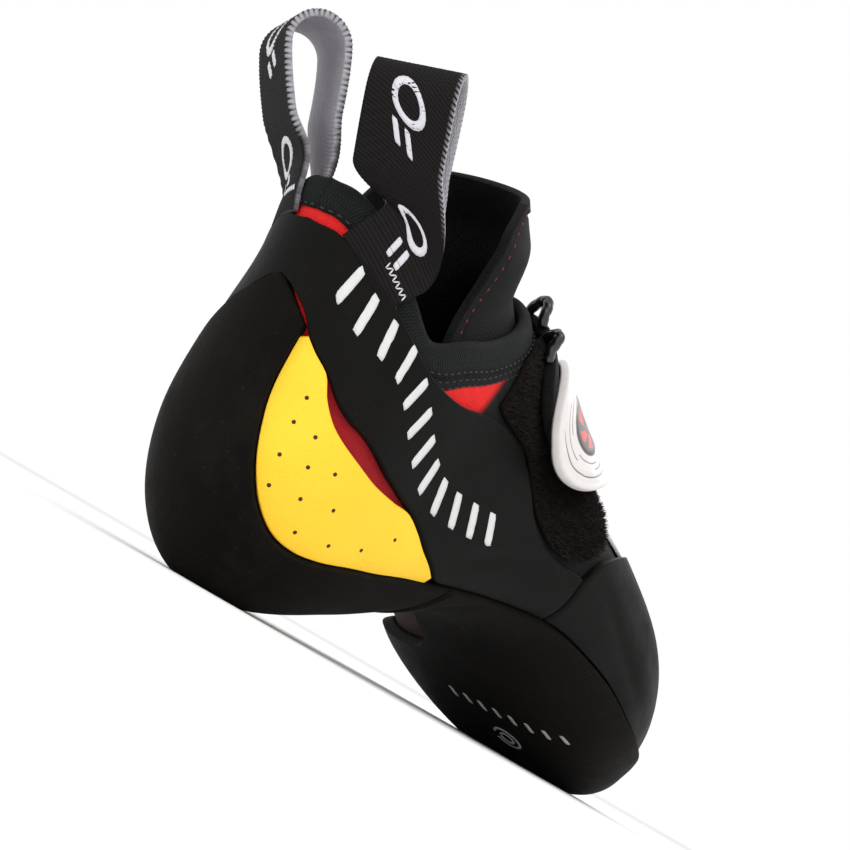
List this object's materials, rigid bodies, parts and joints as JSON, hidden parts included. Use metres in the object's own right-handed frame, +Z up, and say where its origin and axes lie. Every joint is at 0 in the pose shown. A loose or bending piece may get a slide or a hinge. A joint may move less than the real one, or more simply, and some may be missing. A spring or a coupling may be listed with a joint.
{
  "type": "climbing shoe",
  "caption": "Right slip-on climbing shoe with a down-turned last, rubber rand and heel cup, a hook-and-loop strap and pull loops at the heel.",
  "frame": {"origin": "on the floor under the middle of the heel", "axes": "+X towards the toe, +Y to the medial side, +Z up"},
  "size_m": [0.2567, 0.0947, 0.1255],
  "materials": {
    "sole_rubber": "matt and dusty",
    "rand_rubber": "smooth, half matt",
    "yellow_inlay": "fine grain, half matt",
    "red_synthetic": "napped synthetic, matt",
    "white_synthetic": "smooth synthetic, half matt",
    "loop_cloth": "fuzzy",
    "strap_cloth": "close weave",
    "badge_face": "moulded, half matt",
    "keeper_cord": "glossy",
    "elastic_knit": "ribbed elastic",
    "binding_tape": "folded tape",
    "webbing": "ribbed webbing",
    "insole_board": "felted board"
  },
  "bodies": {
    "root": {"upper": "red_synthetic", "insole": "insole_board", "outsole": "sole_rubber", "heel_cup": "sole_rubber", "heel_band": "rand_rubber", "toe_rand": "rand_rubber", "heel_inlay_lateral": "yellow_inlay", "heel_inlay_medial": "yellow_inlay", "vamp_panel": "white_synthetic", "loop_pad": "loop_cloth", "strap": "strap_cloth", "strap_badge": "badge_face", "keeper_loop_inner": "keeper_cord", "keeper_loop_outer": "keeper_cord", "tongue": "elastic_knit", "collar_binding": "binding_tape", "pull_loop_medial": "webbing", "pull_loop_lateral": "webbing"}
  },
  "joints": []
}
